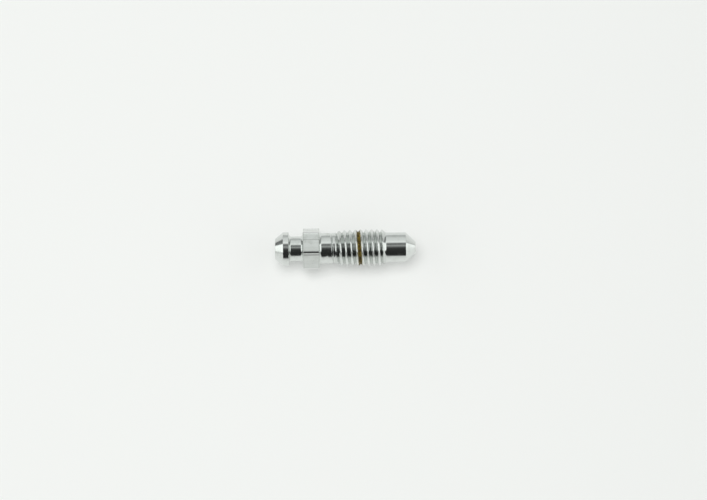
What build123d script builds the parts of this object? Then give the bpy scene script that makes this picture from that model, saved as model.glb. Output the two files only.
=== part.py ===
from build123d import *
import os
from math import cos, radians, tan

# A bleeder screw for a hydraulic brake: one turned and rolled steel body, with a bead of sealing
# compound in one turn of its thread. Millimetres, +Z up.
#
# The screw lies on one flat of its hexagon. Its axis is parallel to X, with the hose end towards -X
# and the seat cone towards +X. The origin is on the surface under the middle of the screw.
#
# Everything is first made about the X axis, with x = 0 at the hose end, and then moved to its rest.

# Hose end: a conical nose, a short barb land and a plain neck, which lies below the land by a step.
nose_face_diameter = 3.8
nose_length = 1.5
land_diameter = 6.2
land_length = 1.05
neck_step_height = 0.8
neck_length = 2.6
neck_fillet = 0.35
nose_edge_radius = 0.2

# Hexagon for a 7 mm spanner. Its flats stand out past the shank by the shoulder.
hex_shoulder_height = 0.6
hex_length = 3.05
hex_edge_radius = 0.25
hex_end_bevel = 0.1

# Plain shank between the hexagon and the thread. It lies just below the thread's root.
shank_root_clearance = 0.024
shank_length = 2.65
shank_fillet = 0.3

# M7 x 1 right-hand thread, rolled. Its crests stand above the pitch line by the crest height, and rise
# out of the shank on a slow cone. The first groove begins a short distance past the shank.
thread_pitch = 1.0
thread_major_diameter = 6.88
thread_crest_height = 0.28
thread_flank_angle = 30.0
thread_root_flat = 0.17
thread_length = 9.3
thread_lead_angle = 20.0
thread_end_angle = 45.0
first_groove_distance = 0.32

# Plain pilot, which lies further below the thread's root, and the cone that seals on the seat.
pilot_root_clearance = 0.104
pilot_length = 3.95
pilot_fillet = 0.3
seat_cone_angle = 90.0
tip_diameter = 1.9
tip_edge_radius = 0.15

# Drillings: one along the axis from the hose end, and one that meets it, across the pilot, at a
# distance from the seat cone.
bore_diameter = 1.8
bore_mouth_chamfer = 0.15
cross_hole_diameter = 1.5
cross_hole_distance = 1.05
cross_hole_turn = -30.0
drill_point_angle = 118.0

# Sealing compound, laid in one turn of the thread groove. It creeps up the flanks and sags between.
# Its edges and its middle lie at these depths under the crests.
seal_groove_number = 4
seal_edge_depth = 0.17
seal_middle_depth = 0.34
seal_clearance = 0.01
seal_thick_side_turn = 108.0
seal_sweep_angle = 342.0
seal_end_depth = 0.08

# How far a cutting tool reaches past what it cuts, and how many turns of groove are cut to waste.
overcut = 0.5
spare_turns = 2


# The thread section. Its flanks would meet at the apex if the root were not cut off by a narrow flat.
groove_half_width = thread_pitch / 4
crest_radius = thread_major_diameter / 2
pitch_radius = crest_radius - thread_crest_height
apex_radius = pitch_radius - groove_half_width / tan(radians(thread_flank_angle))
root_bottom_radius = apex_radius + thread_root_flat / 2 / tan(radians(thread_flank_angle))

# Diameters that follow from a neighbour's.
neck_diameter = land_diameter - 2 * neck_step_height
shank_diameter = 2 * (root_bottom_radius - shank_root_clearance)
pilot_diameter = 2 * (root_bottom_radius - pilot_root_clearance)
hex_across_flats = shank_diameter + 2 * hex_shoulder_height

# Stations along the axis, counted from the hose end.
land_start = nose_length
neck_start = land_start + land_length
hex_start = neck_start + neck_length
shank_start = hex_start + hex_length
thread_start = shank_start + shank_length
thread_end = thread_start + thread_length
pilot_start = thread_end + pilot_fillet
seat_cone_length = (pilot_diameter - tip_diameter) / 2 / tan(radians(seat_cone_angle / 2))
seat_cone_start = thread_end + pilot_length
overall_length = seat_cone_start + seat_cone_length

# The cutting section stops half-way from the crest to where neighbouring turns would meet.
meeting_radius = apex_radius + thread_pitch / 2 / tan(radians(thread_flank_angle))
groove_outer_radius = (crest_radius + meeting_radius) / 2
first_groove = thread_start + first_groove_distance

# The sealing compound's upper surface.
seal_edge_radius = crest_radius - seal_edge_depth
seal_middle_radius = crest_radius - seal_middle_depth

# The screw's axis lies as high as the widest thing that touches the surface.
axis_height = max(hex_across_flats, thread_major_diameter, land_diameter) / 2


def flank_half_width(radius):
    """Half the groove's width at one distance from the axis."""
    return (radius - apex_radius) * tan(radians(thread_flank_angle))


def turned(outline, rounded=()):
    """A solid of revolution from its half section, with some of the section's corners rounded."""
    section = make_face(Polyline(outline, close=True))
    for corner, radius in rounded:
        nearest = section.vertices().sort_by_distance((*corner, 0))[0]
        section = fillet(nearest, radius)
    return revolve(section, Axis.X)


def hose_end():
    """The nose, the barb land, the neck and the shank, up to where the thread starts."""
    nose_face = (0, nose_face_diameter / 2)
    land_foot = (neck_start, neck_diameter / 2)
    neck_foot = (hex_start, neck_diameter / 2)
    inside_hexagon = hex_across_flats / 2 - hex_end_bevel
    shank_foot = (shank_start, shank_diameter / 2)
    outline = [
        (0, 0),
        nose_face,
        (land_start, land_diameter / 2),
        (neck_start, land_diameter / 2),
        land_foot,
        neck_foot,
        (hex_start, inside_hexagon),
        (shank_start, inside_hexagon),
        shank_foot,
        (thread_start, shank_diameter / 2),
        (thread_start, 0),
    ]
    rounded = [
        (nose_face, nose_edge_radius),
        (land_foot, neck_fillet),
        (neck_foot, neck_fillet),
        (shank_foot, shank_fillet),
    ]
    return turned(outline, rounded)


def seat_end():
    """The pilot and the seat cone with its blunt tip."""
    tip = (overall_length, tip_diameter / 2)
    outline = [
        (pilot_start, 0),
        (pilot_start, pilot_diameter / 2),
        (seat_cone_start, pilot_diameter / 2),
        tip,
        (overall_length, 0),
    ]
    return turned(outline, [(tip, tip_edge_radius)])


def hexagon():
    """The hexagon, with two flats level, rounded long edges and bevelled ends."""
    corner_radius = hex_across_flats / 2 / cos(radians(30))
    outline = RegularPolygon(corner_radius, 6)
    outline = fillet(outline.vertices(), hex_edge_radius)
    bar = extrude(Plane.YZ.offset(hex_start) * outline, hex_length)
    ends = bar.faces().filter_by(Axis.X)
    return chamfer(ends.edges(), hex_end_bevel)


def groove_sides(outer_radius, clearance=0.0):
    """The groove's two flanks up to outer_radius and its flat root, drawn inside by a clearance.

    The first axis runs along the screw and the second away from its axis. The flanks' upper end on
    the right is returned with the three edges.
    """
    inset = clearance / cos(radians(thread_flank_angle))
    foot_y = root_bottom_radius + clearance
    foot_x = flank_half_width(foot_y) - inset
    edge_x = flank_half_width(outer_radius) - inset
    left = Line((-edge_x, outer_radius), (-foot_x, foot_y))
    root = Line((-foot_x, foot_y), (foot_x, foot_y))
    right = Line((foot_x, foot_y), (edge_x, outer_radius))
    return [left, root, right], edge_x


def groove_section():
    """The groove's section from its root outwards, past the thread's crest."""
    sides, edge_x = groove_sides(groove_outer_radius)
    top = Line((edge_x, groove_outer_radius), (-edge_x, groove_outer_radius))
    return make_face([*sides, top])


def seal_section():
    """The sealing compound's section: it fills the groove up to a surface that sags."""
    sides, edge_x = groove_sides(seal_edge_radius, seal_clearance)
    right = (edge_x, seal_edge_radius)
    right_foot = (edge_x / 2, seal_middle_radius)
    left_foot = (-edge_x / 2, seal_middle_radius)
    left = (-edge_x, seal_edge_radius)
    dish = Polyline(right, right_foot, left_foot, left)
    return make_face([*sides, *dish.edges()])


def helical_sweep(section, start, start_turn, turns):
    """A section swept along a right-hand helix about X.

    The section's first axis runs along the screw, and its second points away from the axis. The sweep
    starts at x = start, start_turn degrees round from +Y towards +Z.
    """
    path = Helix(thread_pitch, thread_pitch * turns, root_bottom_radius)
    drawn = Plane(origin=(0, 0, 0), x_dir=(0, 0, 1), z_dir=(0, 1, 0)) * section
    swept = sweep(drawn, path, is_frenet=True)
    return Pos(start, 0, 0) * Rotation(90 + start_turn, 0, 0) * Rotation(0, 90, 0) * swept


def threaded_bar():
    """The threaded length, from the shank's end to the pilot's beginning.

    The groove is cut into a plain bar that is longer than the thread. The bar is then turned down to
    the lead cone at one end, and to the end cone and its fillet at the other.
    """
    spare = thread_pitch * spare_turns
    bar_start = thread_start - spare
    bar_end = pilot_start + spare
    bar = extrude(Plane.YZ.offset(bar_start) * Circle(crest_radius), bar_end - bar_start)
    groove_start = first_groove - thread_pitch * (spare_turns - 1)
    groove_turns = (bar_end - spare / 2 - groove_start) / thread_pitch
    bar -= helical_sweep(groove_section(), groove_start, 0, groove_turns)

    outside = crest_radius + overcut
    lead_foot = (thread_start, shank_diameter / 2)
    lead_run = (outside - shank_diameter / 2) / tan(radians(thread_lead_angle))
    lead_waste = [
        (bar_start - overcut, 0),
        (thread_start, 0),
        lead_foot,
        (thread_start + lead_run, outside),
        (bar_start - overcut, outside),
    ]
    end_foot = (thread_end, pilot_diameter / 2)
    end_run = (outside - pilot_diameter / 2) / tan(radians(thread_end_angle))
    end_waste = [
        (bar_end + overcut, 0),
        (pilot_start, 0),
        (pilot_start, pilot_diameter / 2),
        end_foot,
        (thread_end - end_run, outside),
        (bar_end + overcut, outside),
    ]
    return bar - turned(lead_waste) - turned(end_waste, [(end_foot, pilot_fillet)])


def drilled(body):
    """The body with its axial drilling, its cross-hole and the chamfer at the drilling's mouth."""
    cross_hole_station = seat_cone_start - cross_hole_distance
    full_depth = cross_hole_station + cross_hole_diameter / 2
    point_length = bore_diameter / 2 / tan(radians(drill_point_angle / 2))
    drill = [
        (-overcut, 0),
        (-overcut, bore_diameter / 2),
        (full_depth, bore_diameter / 2),
        (full_depth + point_length, 0),
    ]
    bore = turned(drill)
    mouth = [
        (-overcut, 0),
        (-overcut, bore_diameter / 2 + bore_mouth_chamfer + overcut),
        (bore_mouth_chamfer, bore_diameter / 2),
        (bore_mouth_chamfer, 0),
    ]
    countersink = turned(mouth)
    reach = pilot_diameter / 2 + overcut
    cross_hole = extrude(Plane.XY * Circle(cross_hole_diameter / 2), reach)
    cross_hole = Pos(cross_hole_station, 0, 0) * Rotation(cross_hole_turn - 90, 0, 0) * cross_hole
    return body - bore - countersink - cross_hole


def thread_seal():
    """Almost one turn of sealing compound, which thins towards both its ends.

    A cylinder that stands off the screw's axis trims the turn: it clears the compound on the thick
    side, and leaves the two ends shallow on the other side.
    """
    start_turn = seal_thick_side_turn - seal_sweep_angle / 2
    start = first_groove + thread_pitch * (seal_groove_number + start_turn / 360)
    turn = helical_sweep(seal_section(), start, start_turn, seal_sweep_angle / 360)
    thin_radius = root_bottom_radius + seal_end_depth
    thick_radius = seal_edge_radius + 2 * (seal_edge_radius - thin_radius)
    trim_radius = (thick_radius + thin_radius) / 2
    offset = (thick_radius - thin_radius) / 2
    trim_start = start - thread_pitch
    trim_end = start + 2 * thread_pitch
    trim = extrude(Plane.YZ * Pos(offset, 0) * Circle(trim_radius), trim_end - trim_start)
    return turn & (Pos(trim_start, 0, 0) * Rotation(seal_thick_side_turn, 0, 0) * trim)


def lying(solid):
    """A solid moved from the construction axis to where the screw lies."""
    return Pos(-overall_length / 2, 0, axis_height) * solid


screw_body = lying(drilled(hose_end() + hexagon() + threaded_bar() + seat_end()))
seal = lying(thread_seal())

os.makedirs("parts", exist_ok=True)
export_step(screw_body, "parts/screw_body.step")
export_step(seal, "parts/thread_seal.step")
print("overall length", round(overall_length, 3), "axis height", round(axis_height, 3))
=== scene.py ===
"""A bleeder screw lying on a pale table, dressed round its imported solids.

The screw is turned and rolled from one bar: a conical nose, a barb land, a neck, a hexagon, a plain
shank, a rolled thread, a plain pilot and a seat cone, bright plated. A bead of sealing compound sits in
one turn of the thread. Lengths in the classes are millimetres, and the meshes and materials are in
metres.

Stations are counted along the axis from the hose end. Turns are degrees round the axis, from the side
that is away from the camera (+Y) over the top (+Z).
"""

import logging
import math
from collections.abc import Callable, Sequence
from dataclasses import dataclass, field
from enum import Enum

import bpy
import numpy as np
from mathutils import Matrix, Quaternion, Vector

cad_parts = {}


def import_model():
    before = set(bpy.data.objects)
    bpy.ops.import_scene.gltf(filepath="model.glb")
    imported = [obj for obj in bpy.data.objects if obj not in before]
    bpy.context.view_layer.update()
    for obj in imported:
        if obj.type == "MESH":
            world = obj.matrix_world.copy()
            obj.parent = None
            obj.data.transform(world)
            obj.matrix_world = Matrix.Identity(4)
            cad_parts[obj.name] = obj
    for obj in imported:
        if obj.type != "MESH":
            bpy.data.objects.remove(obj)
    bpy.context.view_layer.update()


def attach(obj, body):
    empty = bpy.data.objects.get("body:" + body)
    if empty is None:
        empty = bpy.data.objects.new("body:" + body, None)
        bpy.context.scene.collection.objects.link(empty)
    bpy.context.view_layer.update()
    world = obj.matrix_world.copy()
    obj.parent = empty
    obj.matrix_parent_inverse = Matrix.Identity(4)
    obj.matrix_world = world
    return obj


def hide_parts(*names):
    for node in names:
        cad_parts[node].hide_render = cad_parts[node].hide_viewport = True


MM = 0.001
SCREW_NODE = "screw_body"
SEAL_NODE = "thread_seal"
BODY = "root"

# The bead lies in this groove, counted from 0 at the hexagon, and is thickest at this turn.
SEAL_GROOVE = 4
SEAL_TURN = 108.0

# Faces along an arc, and the change of direction in radians up to which a corner stays sharp.
ARC_FACES = 5
NEARLY_STRAIGHT = 0.02

# How far a row stands beside an arc: a share of its radius, and a share of the line there at most.
BESIDE_ARC = 0.3
MOST_OF_LINE = 0.4

# A Mix node's first end and its result, by the kind of value.
MIX_SOCKETS = {"FLOAT": (2, 0), "RGBA": (6, 2)}

Colour = tuple[float, float, float, float]

# A value's low and high limit, and the results there.
Ramp = tuple[float, float, float, float]

log = logging.getLogger("bleeder_screw")


class Slot(Enum):
    """The record's material slots."""

    STEEL = "plated_steel"
    COMPOUND = "sealing_compound"


@dataclass(frozen=True)
class Axis:
    """Where the screw's axis lies on the table."""

    half_length: float = 12.96
    height: float = 3.45

    def points(self, stations: np.ndarray, radii: np.ndarray, turns: np.ndarray) -> np.ndarray:
        """Points on circles round the axis.

        x is the station, and y and z are the radius times the cosine and the sine of the turn.

        Args:
            stations: distances along the axis from the hose end.
            radii: distances from the axis.
            turns: degrees round the axis.

        Returns:
            Metres in the row frame, one row of three numbers a point.
        """
        angle = np.radians(turns)
        x = stations - self.half_length
        y = radii * np.cos(angle)
        z = self.height + radii * np.sin(angle)
        return np.stack(np.broadcast_arrays(x, y, z), axis=-1).reshape(-1, 3) * MM

    def cylindrical(self, points: np.ndarray) -> tuple[np.ndarray, np.ndarray, np.ndarray]:
        """The station, radius and turn of points, the other way round.

        Args:
            points: metres in the row frame.

        Returns:
            Stations and radii in millimetres, and turns from 0 to 360 degrees.
        """
        x, y, z = points.T / MM
        high = z - self.height
        turn = np.degrees(np.arctan2(high, y)) % 360
        return x + self.half_length, np.hypot(y, high), turn


AXIS = Axis()


@dataclass(frozen=True)
class Steps:
    """The stations and the radius at which neighbouring lengths of the screw meet."""

    hexagon_start: float = 5.15
    hexagon_end: float = 8.2
    pilot_start: float = 20.75
    pilot_radius: float = 2.77


STEPS = Steps()


def rounded_outline(corners: Sequence[tuple[float, float, float]]) -> np.ndarray:
    """The rows of an outline whose corners are rounded.

    Each corner's two lines are cut back by radius times tan(half the change of direction), and an arc
    tangent to both joins the cuts. One more row stands on each line, just outside the arc, so that the
    long faces beside it shade flat.

    Args:
        corners: station, radius from the axis and rounding radius of each corner, in order.

    Returns:
        Station and radius of each row.
    """
    rows: list[np.ndarray] = [np.array([corners[0][:2]])]
    for before, corner, after in zip(corners, corners[1:], corners[2:]):
        here, rounding = np.array(corner[:2]), corner[2]
        back = np.array(before[:2]) - here
        ahead = np.array(after[:2]) - here
        back_length, ahead_length = np.linalg.norm(back), np.linalg.norm(ahead)
        back, ahead = back / back_length, ahead / ahead_length
        inner = math.acos(max(-1.0, min(1.0, float(back @ ahead))))
        turn = math.pi - inner
        if rounding <= 0 or turn < NEARLY_STRAIGHT:
            rows.append(here[None])
            continue
        cut = rounding / math.tan(inner / 2)
        middle = back + ahead
        centre = here + middle / np.linalg.norm(middle) * rounding / math.sin(inner / 2)
        start, end = here + back * cut, here + ahead * cut
        sweep = np.linspace(0, 1, ARC_FACES + 1)[:, None]
        arc = np.sin((1 - sweep) * turn) * (start - centre) + np.sin(sweep * turn) * (end - centre)
        lead = min(BESIDE_ARC * rounding, MOST_OF_LINE * max(back_length - cut, 0))
        follow = min(BESIDE_ARC * rounding, MOST_OF_LINE * max(ahead_length - cut, 0))
        rows.append(np.vstack([start + back * lead, centre + arc / math.sin(turn), end + ahead * follow]))
    rows.append(np.array([corners[-1][:2]]))
    return np.vstack(rows)


def cell_triangles(grid: np.ndarray, flip: bool = False) -> np.ndarray:
    """Two triangles for each cell between neighbouring rows and places.

    Args:
        grid: numbers of points, by row and place.
        flip: turns the triangles over.

    Returns:
        Numbers of points, three a row.
    """
    a, b, c, d = grid[:-1, :-1], grid[1:, :-1], grid[1:, 1:], grid[:-1, 1:]
    if flip:
        b, d = d, b
    return np.concatenate([np.stack(corners, -1).reshape(-1, 3) for corners in ([a, b, c], [a, c, d])])


class Skin:
    """Rows of points round the axis, joined to one closed surface that faces outwards."""

    def __init__(self, turns: np.ndarray) -> None:
        """Starts an empty skin.

        Args:
            turns: where each row has its points, in degrees round the axis.
        """
        self.turns = turns
        self.points: list[np.ndarray] = []
        self.rows: list[np.ndarray] = []
        self.count = 0

    def _store(self, points: np.ndarray) -> np.ndarray:
        """Keeps points.

        Args:
            points: metres, three a row.

        Returns:
            Their numbers in the skin.
        """
        numbers = np.arange(self.count, self.count + len(points))
        self.points.append(points)
        self.count += len(points)
        return numbers

    def pole(self, station: float) -> None:
        """Adds a point on the axis, which closes the skin there."""
        number = self._store(AXIS.points(np.array([station]), np.zeros(1), np.zeros(1)))
        self.rows.append(np.repeat(number[None], len(self.turns) + 1, axis=1))

    def rings(self, stations: np.ndarray, radii: np.ndarray) -> None:
        """Adds rows that go straight round.

        Args:
            stations: one a row.
            radii: one a row, or one a row and turn where the section isn't round.
        """
        wide = np.broadcast_to(radii if radii.ndim == 2 else radii[:, None], (len(stations), len(self.turns)))
        numbers = self._store(AXIS.points(stations[:, None], wide, self.turns[None])).reshape(wide.shape)
        self.rows.append(np.hstack([numbers, numbers[:, :1]]))

    def helix(
        self,
        lines: np.ndarray,
        pitch: float,
        span: tuple[float, float],
        radius: Callable[[np.ndarray, np.ndarray], np.ndarray],
    ) -> None:
        """Adds rows that climb one pitch a turn, between two straight rings.

        A line's station is its place at turn 0 plus the pitch times the turn's share of 360 degrees. Lines
        end on the rings, where they share the ring's points, and a line's far end is the line one pitch on.

        Args:
            lines: stations of the lines inside one pitch, at turn 0.
            pitch: how far a line climbs in a turn.
            span: stations of the two rings.
            radius: gives radii from stations and turns.
        """
        first, last = span
        count = len(self.turns)
        low = math.floor((first - pitch - lines[0]) / pitch)
        high = math.ceil((last - lines[0]) / pitch)
        starts = (lines[None] + pitch * np.arange(low, high + 1)[:, None]).ravel()
        starts = starts[(starts > first - pitch) & (starts < last)]
        stations = starts[:, None] + pitch * self.turns[None] / 360
        turns = np.broadcast_to(self.turns[None], stations.shape)
        rings = [
            self._store(AXIS.points(np.full(count, at), radius(np.full(count, at), self.turns), self.turns))
            for at in span
        ]
        edge = 1e-4
        before, after = stations <= first + edge, stations >= last - edge
        inside = ~(before | after)
        numbers = np.where(before, rings[0][None], np.where(after, rings[1][None], 0))
        numbers[inside] = self._store(
            AXIS.points(stations[inside], radius(stations[inside], turns[inside]), turns[inside])
        )
        per_pitch = len(lines)
        closing = np.full(len(starts), rings[1][0])
        closing[:-per_pitch] = numbers[per_pitch:, 0]
        self.rows.append(np.append(rings[0], rings[0][0])[None])
        self.rows.append(np.hstack([numbers, closing[:, None]]))
        self.rows.append(np.append(rings[1], rings[1][0])[None])

    def mesh(self, name: str) -> bpy.types.Mesh:
        """Joins neighbouring rows with two triangles a cell, and leaves out those without area.

        Args:
            name: the mesh's name.

        Returns:
            The closed mesh.
        """
        triangles = cell_triangles(np.vstack(self.rows), flip=True)
        whole = np.all(triangles != np.roll(triangles, 1, axis=1), axis=1)
        return mesh_of(name, np.vstack(self.points), triangles[whole])


def mesh_of(name: str, points: np.ndarray, triangles: np.ndarray) -> bpy.types.Mesh:
    """A mesh from arrays, without the points that no triangle uses.

    Args:
        name: the mesh's name.
        points: metres, three a row.
        triangles: numbers of points, three a row.

    Returns:
        The mesh, shaded smooth.
    """
    used, flat = np.unique(triangles, return_inverse=True)
    mesh = bpy.data.meshes.new(name)
    mesh.vertices.add(len(used))
    mesh.vertices.foreach_set("co", points[used].astype(np.float32).ravel())
    mesh.loops.add(len(flat.ravel()))
    mesh.loops.foreach_set("vertex_index", flat.ravel().astype(np.int32))
    mesh.polygons.add(len(triangles))
    mesh.polygons.foreach_set("loop_start", np.arange(0, 3 * len(triangles), 3, dtype=np.int32))
    mesh.polygons.foreach_set("use_smooth", np.ones(len(triangles), dtype=bool))
    mesh.update(calc_edges=True)
    mesh.validate()
    return mesh


def shown(name: str, mesh: bpy.types.Mesh) -> bpy.types.Object:
    """An object for a mesh, linked to the scene.

    Args:
        name: the object's name.
        mesh: its mesh.

    Returns:
        The object.
    """
    piece = bpy.data.objects.new(name, mesh)
    bpy.context.scene.collection.objects.link(piece)
    return piece


def add_share(mesh: bpy.types.Mesh, name: str, values: np.ndarray) -> None:
    """Writes one number from 0 to 1 a point into a named attribute of the mesh."""
    share = mesh.attributes.new(name, "FLOAT", "POINT")
    share.data.foreach_set("value", np.clip(values, 0, 1).astype(np.float32))


def positions(mesh: bpy.types.Mesh) -> np.ndarray:
    """Reads where a mesh's points are.

    Args:
        mesh: the mesh.

    Returns:
        Metres, three a row.
    """
    flat = np.zeros(len(mesh.vertices) * 3, np.float32)
    mesh.vertices.foreach_get("co", flat)
    return flat.reshape(-1, 3).astype(float)


def soft_lower(a: np.ndarray, b: np.ndarray, blend: float) -> np.ndarray:
    """The lower of two surfaces, with the corner where they cross rounded by a quarter of blend at most."""
    near = np.clip(0.5 + 0.5 * (b - a) / blend, 0, 1)
    return b + (a - b) * near - blend * near * (1 - near)


def fading(values: np.ndarray, full: float, none: float) -> np.ndarray:
    """A share that goes evenly from 1 at full to 0 at none, and stays so beyond them, on either side."""
    return np.clip((none - values) / (none - full), 0, 1)


def smooth_noise(u: np.ndarray, v: np.ndarray, seed: int) -> np.ndarray:
    """Noise from -1 to 1: random numbers on the whole places of u and v, eased between them by 3t2 - 2t3.

    Args:
        u: first place, in cells.
        v: second place, in cells.
        seed: picks the random numbers.

    Returns:
        One number a place.
    """
    cells = 64
    table = np.random.default_rng(seed).uniform(-1, 1, (cells, cells))
    i, j = np.floor(u).astype(int), np.floor(v).astype(int)
    s, t = u - i, v - j
    s, t = s * s * (3 - 2 * s), t * t * (3 - 2 * t)
    i, j, next_i, next_j = (place % cells for place in (i, j, i + 1, j + 1))
    near = table[i, j] * (1 - s) + table[next_i, j] * s
    far = table[i, next_j] * (1 - s) + table[next_i, next_j] * s
    return near * (1 - t) + far * t


@dataclass(frozen=True)
class Blotches:
    """Uneven patches: how many a metre, how fine and rough they are, and two limits of their noise."""

    scale: float
    detail: float = 3.0
    roughness: float = 0.5
    low: float = 0.0
    high: float = 1.0


class Wiring:
    """Nodes of one tree, made and joined by short calls."""

    def __init__(self, tree: bpy.types.NodeTree) -> None:
        """Clears the tree, which starts it afresh."""
        self.tree = tree
        tree.nodes.clear()

    def feed(self, socket: bpy.types.NodeSocket, value: object) -> None:
        """Links a socket into another, or writes a plain value there.

        Args:
            socket: the input.
            value: an output, or a number, vector or colour.
        """
        if isinstance(value, bpy.types.NodeSocket):
            self.tree.links.new(value, socket)
        else:
            socket.default_value = value

    def node(self, kind: str, *values: object, **settings: object) -> bpy.types.Node:
        """Makes a node.

        Args:
            kind: Blender's name for it.
            values: what its first inputs take, in order.
            settings: its properties.

        Returns:
            The node.
        """
        made = self.tree.nodes.new(kind)
        for key, setting in settings.items():
            setattr(made, key, setting)
        for socket, value in zip(made.inputs, values):
            self.feed(socket, value)
        return made

    def maths(self, operation: str, *values: object, clamp: bool = False) -> bpy.types.NodeSocket:
        """A Math node's result, kept from 0 to 1 where clamp says so."""
        return self.node("ShaderNodeMath", *values, operation=operation, use_clamp=clamp).outputs[0]

    def product(self, *values: object) -> bpy.types.NodeSocket:
        """Two sockets or numbers, multiplied."""
        return self.maths("MULTIPLY", *values)

    def ramp(
        self, value: object, low: object, high: object, start: float = 0.0, end: float = 1.0
    ) -> bpy.types.NodeSocket:
        """A value taken smoothly from start at low to end at high.

        Args:
            value: the socket to read.
            low: where start is given.
            high: where end is given.
            start: the result up to low.
            end: the result from high on.

        Returns:
            The output socket.
        """
        made = self.node("ShaderNodeMapRange", interpolation_type="SMOOTHSTEP")
        limits = {"Value": value, "From Min": low, "From Max": high, "To Min": start, "To Max": end}
        for name, each in limits.items():
            self.feed(made.inputs[name], each)
        return made.outputs["Result"]

    def mix(self, share: object, a: object, b: object, kind: str = "RGBA") -> bpy.types.NodeSocket:
        """One colour or number taken to another.

        Args:
            share: from 0 to 1.
            a: the result at 0.
            b: the result at 1.
            kind: Blender's name for the kind of value.

        Returns:
            The output socket.
        """
        first, result = MIX_SOCKETS[kind]
        made = self.node("ShaderNodeMix", share, data_type=kind)
        self.feed(made.inputs[first], a)
        self.feed(made.inputs[first + 1], b)
        return made.outputs[result]

    def blend(self, share: object, a: bpy.types.NodeSocket, b: bpy.types.NodeSocket) -> bpy.types.NodeSocket:
        """One shader taken to another by a share from 0 to 1."""
        return self.node("ShaderNodeMixShader", share, a, b).outputs[0]

    def background(self, colour: Colour, strength: object = 1.0) -> bpy.types.NodeSocket:
        """Light of one colour from all round."""
        return self.node("ShaderNodeBackground", colour, strength).outputs[0]

    def place(self) -> bpy.types.NodeSocket:
        """The place on the piece, in metres."""
        return self.node("ShaderNodeTexCoord").outputs["Object"]

    def parts(self, vector: object) -> bpy.types.bpy_prop_collection:
        """A vector's x, y and z."""
        return self.node("ShaderNodeSeparateXYZ", vector).outputs

    def vector(self, *parts: object) -> bpy.types.NodeSocket:
        """A vector from its x, y and z."""
        return self.node("ShaderNodeCombineXYZ", *parts).outputs[0]

    def share(self, name: str) -> bpy.types.NodeSocket:
        """A named attribute of the piece."""
        return self.node("ShaderNodeAttribute", attribute_name=name).outputs["Fac"]

    def blotches(self, place: object, pattern: Blotches) -> bpy.types.bpy_prop_collection:
        """Places the blotches' node group, with its own values.

        Args:
            place: where each point lies in the pattern, in metres.
            pattern: the blotches' size and limits.

        Returns:
            Its outputs: Noise, and Share, which is 0 up to the low limit and 1 from the high one.
        """
        made = self.node("ShaderNodeGroup", node_tree=blotch_group())
        self.feed(made.inputs["Place"], place)
        for name in ("Scale", "Detail", "Roughness", "Low", "High"):
            self.feed(made.inputs[name], getattr(pattern, name.lower()))
        return made.outputs

    def bump(self, shader: bpy.types.Node, height: object, strength: float, distance: float) -> None:
        """Gives a shader fine relief.

        Args:
            shader: the shader.
            height: from 0 to 1.
            strength: the share of the relief that shows.
            distance: the height of 1, in metres.
        """
        made = self.node("ShaderNodeBump")
        for name, value in {"Strength": strength, "Distance": distance, "Height": height}.items():
            self.feed(made.inputs[name], value)
        self.feed(shader.inputs["Normal"], made.outputs["Normal"])


def blotch_group() -> bpy.types.NodeTree:
    """The node group of uneven patches, which both finishes use.

    It is made once. Its share is the noise taken smoothly from 0 at the low limit to 1 at the high one.

    Returns:
        The group.
    """
    name = "uneven_blotches"
    if name in bpy.data.node_groups:
        return bpy.data.node_groups[name]
    tree = bpy.data.node_groups.new(name, "ShaderNodeTree")
    tree.interface.new_socket("Place", in_out="INPUT", socket_type="NodeSocketVector")
    for given in ("Scale", "Detail", "Roughness", "Low", "High"):
        tree.interface.new_socket(given, in_out="INPUT", socket_type="NodeSocketFloat")
    for result in ("Noise", "Share"):
        tree.interface.new_socket(result, in_out="OUTPUT", socket_type="NodeSocketFloat")
    w = Wiring(tree)
    inputs = w.node("NodeGroupInput").outputs
    noise = w.node("ShaderNodeTexNoise")
    w.feed(noise.inputs["Vector"], inputs["Place"])
    for given in ("Scale", "Detail", "Roughness"):
        w.feed(noise.inputs[given], inputs[given])
    outputs = w.node("NodeGroupOutput").inputs
    w.feed(outputs["Noise"], noise.outputs["Fac"])
    w.feed(outputs["Share"], w.ramp(noise.outputs["Fac"], inputs["Low"], inputs["High"]))
    return tree


def new_material(name: str) -> tuple[bpy.types.Material, Wiring, bpy.types.Node, bpy.types.NodeSocket]:
    """A material with a Principled shader that is joined to its output.

    Args:
        name: the material's name.

    Returns:
        The material, its wiring, its Principled shader and the output's surface socket.
    """
    material = bpy.data.materials.new(name)
    material.use_nodes = True
    wiring = Wiring(material.node_tree)
    shader = wiring.node("ShaderNodeBsdfPrincipled")
    surface = wiring.node("ShaderNodeOutputMaterial").inputs["Surface"]
    wiring.feed(surface, shader.outputs["BSDF"])
    return material, wiring, shader, surface


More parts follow.
